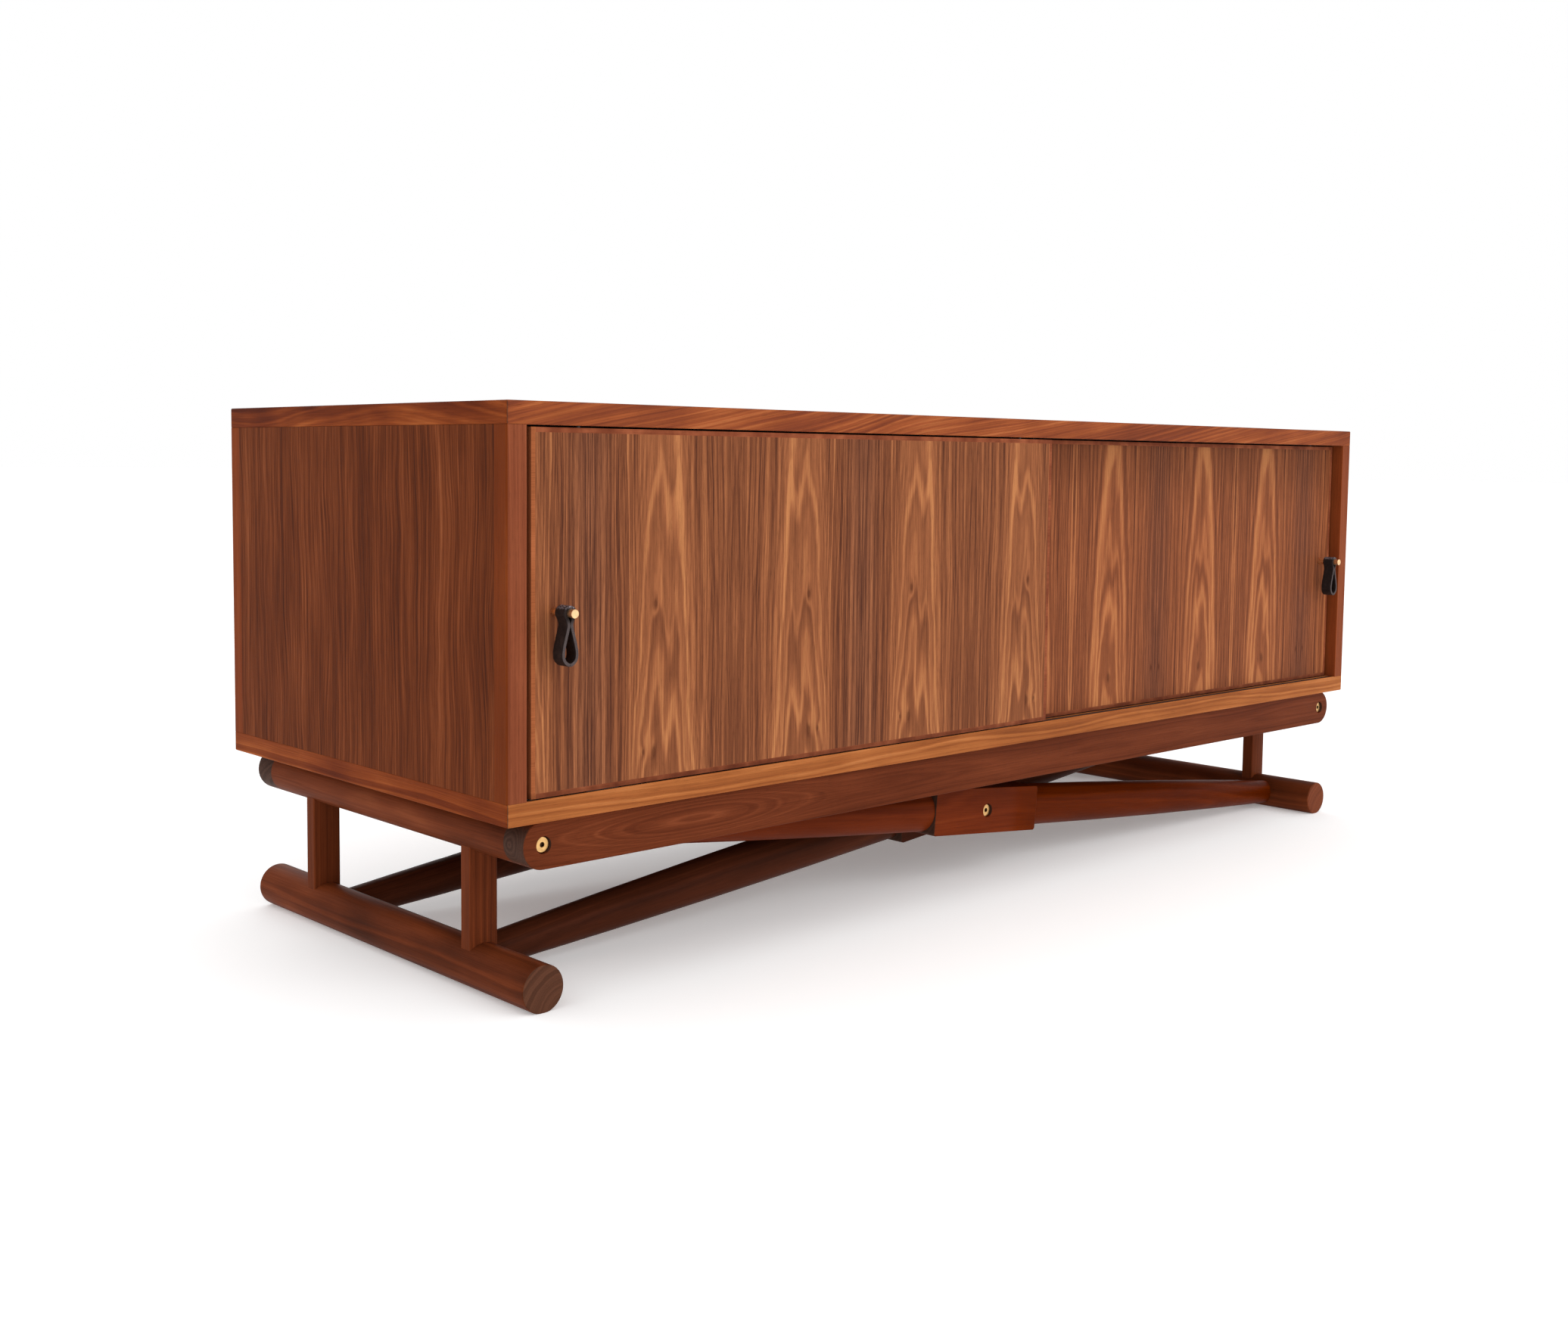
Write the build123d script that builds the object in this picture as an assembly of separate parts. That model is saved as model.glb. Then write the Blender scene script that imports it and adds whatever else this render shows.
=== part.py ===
from build123d import *
import math
import os

# Media cabinet: a veneered case with two bypass sliding doors on a dowel-and-beam base.
# Millimetres. +Z is up and the doors face -Y. The pieces are laid out about the middle of
# the case, and are moved at the end so that the origin is on the floor under the middle of
# the whole cabinet, pulls included.

# ---- case -----------------------------------------------------------------------------
case_width = 1600
case_depth = 580
case_height = 412
panel_thick = 23
frame_lip = 34            # solid edge around the top and bottom panels, 45 degree mitres
side_lip = 22             # solid strip down the front and rear of each side panel
corner_round = 3
edge_round = 1.5
opening_round = 1         # eased arris around the door opening
back_thick = 9
back_inset = 9            # back panel's rear face to the case's rear face
back_housing = 8          # depth of the groove that holds the back panel
divider_thick = 18
shelf_thick = 18
shelf_play = 1            # gap at each end of a shelf
shelf_front_setback = 60
shelf_back_gap = 4
divider_gap = 5           # behind the rear door
hole_room = 1             # depth of a blind hole beyond what it holds
pin_radius = 2.5
pin_hole_radius = 2.55
pin_length = 16
pin_hole_count = 5
pin_pitch = 32
pin_row_inset = 50        # pin rows from the shelf's front and rear edges
port_width = 110
port_height = 50
port_corner = 12
port_rise = 0.25          # port's middle above the floor panel, as a share of the inside height

# ---- doors ----------------------------------------------------------------------------
door_width = 809
door_thick = 11
door_lip = 5
door_setback = 2          # left door's face behind the case's front
door_gap = 2              # between the two doors
door_end_gap = 6          # door edge to side panel when closed
door_foot_gap = 1.5
door_head_gap = 2
track_width = 8
track_wall = 1.4
bottom_track_depth = 8
top_track_depth = 12
glide_length = 40
glide_thick = 4.8
glide_height = 12         # part of the glide that is housed in the door
glide_inset = 90
running_gap = 0.2
guide_body_radius = 3.5
guide_bore_radius = 3.55
guide_nose_radius = 2.3
guide_body_length = 14
guide_bore_depth = 36
guide_inset = 60
guide_sink = 1            # guide's shoulder below the door's top edge
guide_tip_chamfer = 0.8
spring_radius = 3
spring_bore_radius = 2.2

# ---- pulls ----------------------------------------------------------------------------
pull_inset = 28           # post axis from the door's outer edge
pull_height = 402.5       # post axis above the floor
post_radius = 4.5
post_length = 34
post_chamfer = 0.5
neck_radius = 4.0
neck_start = 10           # neck from the door's face
strap_width = 16
strap_side_gap = 0.3
strap_thick = 3.4
strap_bore_radius = 4.08
strap_drop = 52           # post axis to the bottom of the loop
loop_half_width = 9.8
loop_wide_drop = 39       # post axis to where the loop's sides become straight
loop_corner = 8.9         # outer radius of the loop's lower corners
pinch_drop = 11.5
pinch_gap = 2.5           # pinch to the top of the loop's opening
grip_angle = 35           # how far the strap follows the post below its middle, degrees
screw_radius = 2.0
screw_reach = 10
screw_end_gap = 0.5
screw_room = 0.25         # clearance round the screw in the door
screw_cone_radius = 4
screw_cone_depth = 2.2
screw_drive_radius = 1.25
screw_drive_depth = 1.5

# ---- base -----------------------------------------------------------------------------
dowel_radius = 25
foot_flat = 1             # depth planed off under each foot rail
rail_spacing = 146        # foot rail axis to upper rail axis
rail_x = 750
beam_thick = 34
beam_setback = 10         # beam face behind the case's front
foot_length = 560
dowel_end_round = 2
post_wide = 34
post_deep = 20
post_crown = 1.2          # how far a post's front and rear faces bulge
post_edge_round = 2
post_setback = 125        # post axis behind the case's front
tenon_length = 15
tenon_half_wide = 11
tenon_half_deep = 6
brace_block = 60
brace_block_length = 206
brace_block_round = 4
brace_face_round = 1
arm_root_radius = 28.2
arm_middle_radius = 25.3
arm_tip_radius = 17.7
brace_tenon_radius = 10
brace_tenon_root = 12     # length of the tenon that runs back inside the arm
brace_shift = 1           # lapped pair in front of the posts' axis
brace_drop = 1            # crossing point below the midpoint of the two rail axes
bolt_head_radius = 8.25
bolt_head_thick = 2.6
bolt_head_round = 0.8
bolt_recess_radius = 9
bolt_recess = 5.6
bolt_radius = 3
bolt_hole_radius = 3.25
beam_bolt_length = 65
brace_bolt_length = 88
hex_across_flats = 5
hex_depth = 2
insert_radius = 5
insert_length = 22
screw_head_radius = 5
screw_head_thick = 3
screw_recess_radius = 6
screw_recess = 22
case_drive_radius = 2
case_drive_depth = 2
rail_spare = 20           # length trimmed off each end of a drilled rail
case_screw_radius = 2.5
case_screw_length = 42
case_screw_positions = (-600, -200, 200, 600)

# ---- heights and planes worked out from the above -------------------------------------
foot_z = dowel_radius - foot_flat
upper_z = foot_z + rail_spacing
case_bottom = upper_z + dowel_radius
case_top = case_bottom + case_height
floor_z = case_bottom + panel_thick
ceiling_z = case_top - panel_thick
inner_height = ceiling_z - floor_z
half_width = case_width / 2
half_depth = case_depth / 2
inner_x = half_width - panel_thick
front_y = -half_depth
door_face = {"left": front_y + door_setback}
door_face["right"] = door_face["left"] + door_thick + door_gap
door_bottom = floor_z + door_foot_gap
door_top = ceiling_z - door_head_gap
door_height = door_top - door_bottom
door_middle_x = {"left": -inner_x + door_end_gap + door_width / 2}
door_middle_x["right"] = -door_middle_x["left"]
back_y = half_depth - back_inset - back_thick
divider_front = door_face["right"] + door_thick + divider_gap
shelf_front = front_y + shelf_front_setback
shelf_back = back_y - shelf_back_gap
shelf_z = floor_z + inner_height / 2
beam_front = front_y + beam_setback
post_y = front_y + post_setback
brace_slope = math.degrees(math.atan(rail_spacing / (2 * rail_x)))
crossing_z = (foot_z + upper_z) / 2 - brace_drop
brace_seam = post_y - brace_shift
brace_y = {"outer": brace_seam - brace_block / 2, "inner": brace_seam + brace_block / 2}
track_floor = floor_z - bottom_track_depth + track_wall
track_roof = ceiling_z + top_track_depth - track_wall
bolt_head_depth = bolt_recess - bolt_head_thick
brace_bolt_reach = bolt_head_depth + brace_bolt_length - brace_block + hole_room
beam_bolt_reach = bolt_head_depth + beam_bolt_length - beam_thick + hole_room
pull_reach = post_length - door_setback
SIDES = {"left": -1, "right": 1}
ENDS = {"front": -1, "rear": 1}


def block(x0, x1, y0, y1, z0, z1):
    """An upright box between two corners."""
    middle = Vector((x0 + x1) / 2, (y0 + y1) / 2, (z0 + z1) / 2)
    return Pos(middle) * Box(x1 - x0, y1 - y0, z1 - z0)


def rod(x, y, z, radius, length, toward):
    """A cylinder that starts at a point and runs along X, Y or Z, as "+y" or "-x" says."""
    turns = {"z": Rot(0, 0, 0), "x": Rot(0, 90, 0), "y": Rot(-90, 0, 0)}
    sign = -1 if toward[0] == "-" else 1
    shape = Cylinder(radius, length, align=(Align.CENTER, Align.CENTER, Align.MIN))
    if sign < 0:
        shape = Rot(180, 0, 0) * shape
    return Pos(x, y, z) * turns[toward[1]] * shape


def mirrored(shape, side):
    """The shape on the +X side, or its mirror image for the -X side."""
    return shape if side > 0 else mirror(shape, Plane.YZ)


def outer_edges(shape, axis, x=None, y=None, z=None):
    """Edges along one axis whose middles lie on the given coordinates."""
    found = []
    for edge in shape.edges().filter_by(axis):
        c = edge.center()
        wanted = ((x, c.X), (y, c.Y), (z, c.Z))
        if all(want is None or abs(abs(have) - want) < 0.01 for want, have in wanted):
            found.append(edge)
    return ShapeList(found)


def shelf_rows():
    """Y and Z of every shelf-pin hole in one upright face."""
    first = shelf_z - shelf_thick / 2 - pin_radius - pin_pitch * (pin_hole_count // 2)
    rows = (shelf_front + pin_row_inset, shelf_back - pin_row_inset)
    return [(y, first + pin_pitch * n) for y in rows for n in range(pin_hole_count)]


def back_panel():
    reach_x = inner_x + back_housing
    low = floor_z - back_housing
    high = ceiling_z + back_housing
    panel = block(-reach_x, reach_x, back_y, back_y + back_thick, low, high)
    port_z = floor_z + inner_height * port_rise
    for side in SIDES.values():
        port = Box(port_width, 2 * back_thick, port_height)
        port = fillet(port.edges().filter_by(Axis.Y), port_corner)
        panel -= Pos(side * inner_x / 2, back_y + back_thick / 2, port_z) * port
    return panel


def back_housing_cut():
    """The groove that the back panel sits in."""
    reach_x = inner_x + back_housing
    low = floor_z - back_housing
    high = ceiling_z + back_housing
    return block(-reach_x, reach_x, back_y, back_y + back_thick, low, high)


def track_cut(door, level):
    """The groove for one door's top or bottom track."""
    middle = door_face[door] + door_thick / 2
    y0 = middle - track_width / 2
    y1 = middle + track_width / 2
    if level == "bottom":
        return block(-inner_x, inner_x, y0, y1, floor_z - bottom_track_depth, floor_z)
    return block(-inner_x, inner_x, y0, y1, ceiling_z, ceiling_z + top_track_depth)


def track(door, level):
    """A U-shaped plastic channel that fills its groove."""
    shape = track_cut(door, level)
    middle = door_face[door] + door_thick / 2
    y0 = middle - track_width / 2 + track_wall
    y1 = middle + track_width / 2 - track_wall
    if level == "bottom":
        return shape - block(-inner_x, inner_x, y0, y1, track_floor, floor_z)
    return shape - block(-inner_x, inner_x, y0, y1, ceiling_z, track_roof)


def flat_panel_pieces(level):
    """The top or bottom panel: a veneered core inside four mitred solid edges."""
    low = case_bottom if level == "bottom" else ceiling_z
    high = floor_z if level == "bottom" else case_top
    inside = floor_z if level == "bottom" else ceiling_z
    blank = block(-half_width, half_width, -half_depth, half_depth, low, high)
    blank = fillet(blank.edges().filter_by(Axis.Z), corner_round)
    rim = blank.faces().sort_by(Axis.Z)[0 if level == "bottom" else -1].edges()
    blank = fillet(rim, edge_round)
    arris = blank.edges().filter_by(Axis.X).filter_by_position(Axis.Z, inside - 0.1, inside + 0.1)
    blank = fillet(arris.sort_by(Axis.Y)[0], opening_round)
    blank -= back_housing_cut()
    for door in SIDES:
        blank -= track_cut(door, level)
    if level == "bottom":
        blank -= case_screw_holes()
    core_x = half_width - frame_lip
    core_y = half_depth - frame_lip
    core = block(-core_x, core_x, -core_y, core_y, low, high)
    pieces = {f"{level}_panel": blank & core}
    corners = [(-1, -1), (1, -1), (1, 1), (-1, 1)]
    names = ("front_lipping", "end_lippings", "rear_lipping", "end_lippings")
    for n, name in enumerate(names):
        a = corners[n]
        b = corners[(n + 1) % 4]
        outline = [
            (a[0] * half_width, a[1] * half_depth),
            (b[0] * half_width, b[1] * half_depth),
            (b[0] * core_x, b[1] * core_y),
            (a[0] * core_x, a[1] * core_y),
        ]
        wedge = extrude(make_face(Polyline(*outline, close=True)), high - low)
        pieces.setdefault(f"{level}_{name}", []).append(blank & (Pos(0, 0, low) * wedge))
    return pieces


def side_panel_pieces(name, side):
    """A side panel: veneered core with a solid strip at the front and at the rear."""
    blank = block(inner_x, half_width, -half_depth, half_depth, floor_z, ceiling_z)
    blank = fillet(outer_edges(blank, Axis.Z, x=half_width), corner_round)
    arris = outer_edges(blank, Axis.Z, x=inner_x).sort_by(Axis.Y)[0]
    blank = fillet(arris, opening_round)
    blank -= back_housing_cut()
    for y, z in shelf_rows():
        blank -= rod(inner_x, y, z, pin_hole_radius, pin_length / 2 + hole_room, "+x")
    cut_y = half_depth - side_lip
    core = block(inner_x, half_width, -cut_y, cut_y, floor_z, ceiling_z)
    front = block(inner_x, half_width, -half_depth, -cut_y, floor_z, ceiling_z)
    rear = block(inner_x, half_width, cut_y, half_depth, floor_z, ceiling_z)
    return {
        f"{name}_side_panel": mirrored(blank & core, side),
        f"{name}_side_front_lipping": mirrored(blank & front, side),
        f"{name}_side_rear_lipping": mirrored(blank & rear, side),
    }


def centre_divider():
    half = divider_thick / 2
    panel = block(-half, half, divider_front, back_y, floor_z, ceiling_z)
    for y, z in shelf_rows():
        for side in SIDES.values():
            toward = "-x" if side > 0 else "+x"
            panel -= rod(side * half, y, z, pin_hole_radius, pin_length / 2, toward)
    return panel


def shelf(side):
    x0 = divider_thick / 2 + shelf_play
    x1 = inner_x - shelf_play
    z0 = shelf_z - shelf_thick / 2
    board = block(x0, x1, shelf_front, shelf_back, z0, z0 + shelf_thick)
    board = fillet(outer_edges(board, Axis.X).sort_by(Axis.Y)[:2], edge_round)
    return mirrored(board, side)


def shelf_pins():
    """Eight pins, half in the uprights and half under the shelves."""
    z = shelf_z - shelf_thick / 2 - pin_radius
    rows = (shelf_front + pin_row_inset, shelf_back - pin_row_inset)
    pins = []
    for side in SIDES.values():
        for x in (divider_thick / 2, inner_x):
            for y in rows:
                start = x - pin_length / 2
                pins.append(mirrored(rod(start, y, z, pin_radius, pin_length, "+x"), side))
    return pins


def glide_x(name):
    """X of the two glides in a door's bottom edge."""
    reach = door_width / 2 - glide_inset
    return [door_middle_x[name] + step * reach for step in (-1, 1)]


def guide_x(name):
    """X of the two sprung guides in a door's top edge."""
    reach = door_width / 2 - guide_inset
    return [door_middle_x[name] + step * reach for step in (-1, 1)]


def pull_x(name):
    side = SIDES[name]
    return door_middle_x[name] + side * (door_width / 2 - pull_inset)


def glide(x, name):
    """Nylon glide: a block housed in the door and a fin that runs on the track."""
    y = door_face[name] + door_thick / 2
    half = glide_length / 2
    thick = glide_thick / 2
    low = track_floor + running_gap
    return block(x - half, x + half, y - thick, y + thick, low, door_bottom + glide_height)


def glide_housing(x, name):
    y = door_face[name] + door_thick / 2
    half = glide_length / 2
    thick = glide_thick / 2
    return block(x - half, x + half, y - thick, y + thick, door_bottom, door_bottom + glide_height)


def guide_pin(x, name):
    """Sprung guide: a body in the door's bore and a nose that runs in the top track."""
    y = door_face[name] + door_thick / 2
    shoulder = door_top - guide_sink
    body = rod(x, y, shoulder - guide_body_length, guide_body_radius, guide_body_length, "+z")
    nose_length = track_roof - 2 * running_gap - shoulder
    nose = rod(x, y, shoulder, guide_nose_radius, nose_length, "+z")
    tip = nose.edges().sort_by(Axis.Z)[-1]
    return body + chamfer(tip, guide_tip_chamfer)


def guide_spring(x, name):
    """Coil spring under a guide, as a plain sleeve of its outer shape."""
    y = door_face[name] + door_thick / 2
    base = door_top - guide_bore_depth
    height = guide_bore_depth - guide_sink - guide_body_length
    sleeve = rod(x, y, base, spring_radius, height, "+z")
    return sleeve - rod(x, y, base, spring_bore_radius, height, "+z")


def door_pieces(name):
    """A door panel and the four mitred lippings around it."""
    x = door_middle_x[name]
    y0 = door_face[name]
    y1 = y0 + door_thick
    half = door_width / 2
    blank = block(x - half, x + half, y0, y1, door_bottom, door_top)
    for gx in glide_x(name):
        blank -= glide_housing(gx, name)
    for gx in guide_x(name):
        blank -= rod(gx, y0 + door_thick / 2, door_top, guide_bore_radius, guide_bore_depth, "-z")
    blank -= pull_screw_blank(name, screw_room)
    reach = half - door_lip
    core = block(x - reach, x + reach, y0, y1, door_bottom + door_lip, door_top - door_lip)
    corners = [(-1, -1), (1, -1), (1, 1), (-1, 1)]
    middle_z = (door_bottom + door_top) / 2
    lippings = []
    tall = door_height / 2
    rise = tall - door_lip
    for n in range(4):
        a = corners[n]
        b = corners[(n + 1) % 4]
        outline = [
            (a[0] * half, a[1] * tall),
            (b[0] * half, b[1] * tall),
            (b[0] * reach, b[1] * rise),
            (a[0] * reach, a[1] * rise),
        ]
        upright = Plane(origin=(x, y1, middle_z), x_dir=(1, 0, 0), z_dir=(0, -1, 0))
        wedge = extrude(upright * make_face(Polyline(*outline, close=True)), door_thick)
        lippings += (blank & wedge).solids()
    return blank & core, lippings


def pull_post(name):
    """Turned brass post with a neck that the leather loop hangs in."""
    x = pull_x(name)
    y = door_face[name]
    post = rod(x, y, pull_height, post_radius, post_length, "-y")
    post = chamfer(post.edges().sort_by(Axis.Y)[0], post_chamfer)
    neck_length = strap_width + 2 * strap_side_gap
    ring = rod(x, y - neck_start, pull_height, 2 * post_radius, neck_length, "-y")
    ring -= rod(x, y - neck_start, pull_height, neck_radius, neck_length, "-y")
    post -= ring
    return post - rod(x, y, pull_height, screw_radius, screw_reach, "-y")


def pull_screw_blank(name, room=0.0):
    """Countersunk screw from the door's back face into the post."""
    x = pull_x(name)
    back = door_face[name] + door_thick
    length = door_thick + screw_reach - screw_end_gap
    standing = (Align.CENTER, Align.CENTER, Align.MIN)
    head = Cone(screw_cone_radius + room, screw_radius + room, screw_cone_depth, align=standing)
    head = Pos(x, back, pull_height) * Rot(90, 0, 0) * head
    return rod(x, back, pull_height, screw_radius + room, length, "-y") + head


def pull_screw(name):
    x = pull_x(name)
    back = door_face[name] + door_thick
    drive = RegularPolygon(screw_drive_radius, 6, major_radius=False)
    drive = extrude(drive, screw_drive_depth)
    return pull_screw_blank(name) - Pos(x, back, pull_height) * Rot(90, 0, 0) * drive


def half_loop(top, half, bottom, corner):
    """Right half of a loop outline, from a point on its upper part down to the bottom."""
    wide = (half, -loop_wide_drop)
    low = (half, -bottom + corner)
    side = Spline(top, wide, tangents=((0.25, -1), (0, -1)))
    wall = Line(wide, low)
    turn = RadiusArc(low, (half - corner, -bottom), corner)
    base = Line((half - corner, -bottom), (0, -bottom))
    return [side, wall, turn, base]


def pull_loop(name):
    """Leather strap folded over the post, pinched under it and open below."""
    outer_radius = strap_bore_radius + strap_thick
    grip = math.radians(grip_angle)
    leave = (outer_radius * math.cos(grip), -outer_radius * math.sin(grip))
    pinch = (strap_thick, -pinch_drop)
    cap = ThreePointArc((0, outer_radius), (outer_radius, 0), leave)
    waist = Spline(leave, pinch, tangents=((-0.6, -1), (0.25, -1)))
    outer = half_loop(pinch, loop_half_width, strap_drop, loop_corner)
    middle = Line((0, -strap_drop), (0, outer_radius))
    half = make_face(Curve() + [cap, waist, *outer, middle])
    apex = (0, -pinch_drop - pinch_gap)
    inner_half = loop_half_width - strap_thick
    inner_bottom = strap_drop - strap_thick
    inner = half_loop(apex, inner_half, inner_bottom, loop_corner - strap_thick)
    gap = make_face(Curve() + [*inner, Line((0, -inner_bottom), apex)])
    outline = half + mirror(half, Plane.YZ)
    outline -= gap + mirror(gap, Plane.YZ)
    outline -= Circle(strap_bore_radius)
    y = door_face[name] - neck_start - strap_side_gap
    upright = Plane(origin=(pull_x(name), y, pull_height), x_dir=(1, 0, 0), z_dir=(0, -1, 0))
    return extrude(upright * outline, strap_width)


def bolt(x, y, z, length, toward):
    """Connector bolt: flat round head with a hexagon socket, head at the given point."""
    standing = (Align.CENTER, Align.CENTER, Align.MIN)
    head = Cylinder(bolt_head_radius, bolt_head_thick, align=standing)
    head = fillet(head.edges().sort_by(Axis.Z)[0], bolt_head_round)
    shank = Cylinder(bolt_radius, length, align=standing)
    socket = extrude(RegularPolygon(hex_across_flats / 2, 6, major_radius=False), hex_depth)
    whole = head + shank - socket
    return Pos(x, y, z) * Rot(-90 if toward > 0 else 90, 0, 0) * whole


def bolt_hole(x, y, z, length, toward):
    """Counterbore for a bolt's head, and its clearance hole."""
    way = "+y" if toward > 0 else "-y"
    recess = rod(x, y, z, bolt_recess_radius, bolt_recess, way)
    return recess + rod(x, y, z, bolt_hole_radius, length, way)


def insert(x, y, z, toward):
    """Threaded insert that a connector bolt screws into."""
    way = "+y" if toward > 0 else "-y"
    sleeve = rod(x, y, z, insert_radius, insert_length, way)
    return sleeve - rod(x, y, z, bolt_hole_radius, insert_length, way)


def beam_bolt_spots():
    """X, Y and direction of each bolt that holds a beam to an upper rail."""
    for side in SIDES.values():
        for end in ENDS.values():
            yield side * rail_x, end * -beam_front, -end


def beam(end):
    """A beam with half-round ends, drilled for its bolts and for the case screws."""
    length = 2 * (rail_x + dowel_radius)
    outline = SlotOverall(length, 2 * dowel_radius)
    plane = Plane(origin=(0, beam_front + beam_thick, upper_z), x_dir=(1, 0, 0), z_dir=(0, -1, 0))
    shape = extrude(plane * outline, beam_thick)
    shape = fillet(shape.faces().sort_by(Axis.Y)[0].edges(), edge_round)
    for x in (-rail_x, rail_x):
        shape -= bolt_hole(x, beam_front, upper_z, beam_thick, 1)
    if end > 0:
        shape = mirror(shape, Plane.XZ)
    return shape - case_screw_holes()


def case_screw_holes():
    """Counterbored holes up through the beams into the bottom panel."""
    holes = []
    base = upper_z - dowel_radius
    for x in case_screw_positions:
        for end in ENDS.values():
            y = end * -(beam_front + beam_thick / 2)
            recess = rod(x, y, base, screw_recess_radius, screw_recess, "+z")
            top = screw_recess + case_screw_length + hole_room
            holes.append(recess + rod(x, y, base, case_screw_radius, top, "+z"))
    return holes


def case_screws():
    screws = []
    base = upper_z - dowel_radius + screw_recess
    for x in case_screw_positions:
        for end in ENDS.values():
            y = end * -(beam_front + beam_thick / 2)
            head = rod(x, y, base - screw_head_thick, screw_head_radius, screw_head_thick, "+z")
            socket = RegularPolygon(case_drive_radius, 6, major_radius=False)
            socket = extrude(socket, case_drive_depth)
            head -= Pos(x, y, base - screw_head_thick) * socket
            screws.append(head + rod(x, y, base, case_screw_radius, case_screw_length, "+z"))
    return screws


def dowel(x, z, length):
    """A round rail along Y with softened ends."""
    shape = rod(x, -length / 2, z, dowel_radius, length, "+y")
    ends = shape.edges().filter_by(GeomType.CIRCLE)
    return fillet(ends, dowel_end_round)


def plain_dowel(x, z):
    """The surface that posts and braces are scribed to."""
    return rod(x, -half_depth, z, dowel_radius, case_depth, "+y")


def post_tenon_box(x, y):
    """The two stub tenons of a post, as one bar that runs through both rails."""
    low = foot_z + dowel_radius - tenon_length
    high = upper_z - dowel_radius + tenon_length
    wide = tenon_half_wide
    deep = tenon_half_deep
    return block(x - wide, x + wide, y - deep, y + deep, low, high)


def post(x, y):
    """Flat post with crowned faces, scribed over the two rails that it joins."""
    half = post_wide / 2
    deep = post_deep / 2 - post_crown
    outline = [
        Line((-half, -deep), (-half, deep)),
        ThreePointArc((-half, deep), (0, deep + post_crown), (half, deep)),
        Line((half, deep), (half, -deep)),
        ThreePointArc((half, -deep), (0, -deep - post_crown), (-half, -deep)),
    ]
    bar = extrude(make_face(Curve() + outline), rail_spacing)
    bar = fillet(bar.edges().filter_by(Axis.Z), post_edge_round)
    bar = Pos(x, y, foot_z) * bar
    bar -= plain_dowel(x, foot_z)
    bar -= plain_dowel(x, upper_z)
    return bar + post_tenon_box(x, y)


def brace_blank(y, rising):
    """A brace before its ends are scribed: square block, tapered arms, round tenons."""
    half = brace_block_length / 2
    reach = rail_x / math.cos(math.radians(brace_slope))
    tip = reach - dowel_radius / 2
    root_point = (half, arm_root_radius)
    middle_point = ((half + tip) / 2, arm_middle_radius)
    tip_point = (tip, arm_tip_radius)
    profile = [
        Line((0, 0), (0, arm_root_radius)),
        Line((0, arm_root_radius), root_point),
        ThreePointArc(root_point, middle_point, tip_point),
        Line(tip_point, (tip, 0)),
        Line((tip, 0), (0, 0)),
    ]
    arm = revolve(make_face(Curve() + profile), Axis.X)
    core = Box(brace_block_length, brace_block, brace_block)
    core = fillet(core.edges().filter_by(Axis.Y), brace_block_round)
    core = fillet(core.faces().filter_by(Axis.Y).edges(), brace_face_round)
    whole = core + arm + mirror(arm, Plane.YZ)
    turn = -brace_slope if rising else brace_slope
    return Pos(0, y, crossing_z) * Rot(0, turn, 0) * whole


def brace_tenon(y, rising, side):
    """Round tenon at one end of a brace."""
    reach = rail_x / math.cos(math.radians(brace_slope))
    turn = -brace_slope if rising else brace_slope
    start = reach - dowel_radius - brace_tenon_root
    tenon = rod(start, 0, 0, brace_tenon_radius, brace_tenon_root + tenon_length, "+x")
    return Pos(0, y, crossing_z) * Rot(0, turn, 0) * mirrored(tenon, side)


def brace(kind, end):
    """One brace: the outer one falls to the right, the inner one rises to the right."""
    rising = kind == "inner"
    y = brace_y[kind]
    shape = brace_blank(y, rising)
    for side in SIDES.values():
        lower = rising == (side < 0)
        shape -= plain_dowel(side * rail_x, foot_z if lower else upper_z)
        shape += brace_tenon(y, rising, side)
    if rising:
        shape -= rod(0, brace_seam, crossing_z, insert_radius, insert_length + hole_room, "+y")
        shape -= rod(0, brace_seam, crossing_z, bolt_hole_radius, brace_bolt_reach, "+y")
    else:
        shape -= bolt_hole(0, brace_seam - brace_block, crossing_z, brace_block, 1)
    return shape if end < 0 else mirror(shape, Plane.XZ)


def rail(side, z, length):
    """An upper or foot rail, mortised for its posts and braces."""
    x = side * rail_x
    shape = dowel(x, z, length)
    if z == foot_z:
        shape -= block(x - dowel_radius, x + dowel_radius, -length, length, -dowel_radius, 0)
    for end in ENDS.values():
        cutters = [post_tenon_box(x, post_y)]
        for kind in brace_y:
            rising = kind == "inner"
            lower = rising == (side < 0)
            if lower == (z == foot_z):
                cutters.append(brace_tenon(brace_y[kind], rising, side))
        for cutter in cutters:
            shape -= cutter if end < 0 else mirror(cutter, Plane.XZ)
    return shape


def drilled_upper_rail(side):
    """An upper rail that fits between the beams, with an insert's hole in each end."""
    length = 2 * (-beam_front - beam_thick)
    shape = rod(side * rail_x, -length / 2, upper_z, dowel_radius, length, "+y")
    shape = shape & rail(side, upper_z, length + 2 * rail_spare)
    for end in ENDS.values():
        way = "+y" if end < 0 else "-y"
        y = end * length / 2
        shape -= rod(side * rail_x, y, upper_z, insert_radius, insert_length + hole_room, way)
        shape -= rod(side * rail_x, y, upper_z, bolt_hole_radius, beam_bolt_reach, way)
    return shape


# ---- all the pieces -------------------------------------------------------------------
parts = {}
for level in ("top", "bottom"):
    parts.update(flat_panel_pieces(level))
for name, side in SIDES.items():
    parts.update(side_panel_pieces(name, side))
    parts[f"{name}_shelf"] = shelf(side)
parts["back_panel"] = back_panel()
parts["centre_divider"] = centre_divider()
parts["shelf_pins"] = shelf_pins()
parts["top_tracks"] = [track(door, "top") for door in SIDES]
parts["bottom_tracks"] = [track(door, "bottom") for door in SIDES]

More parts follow.
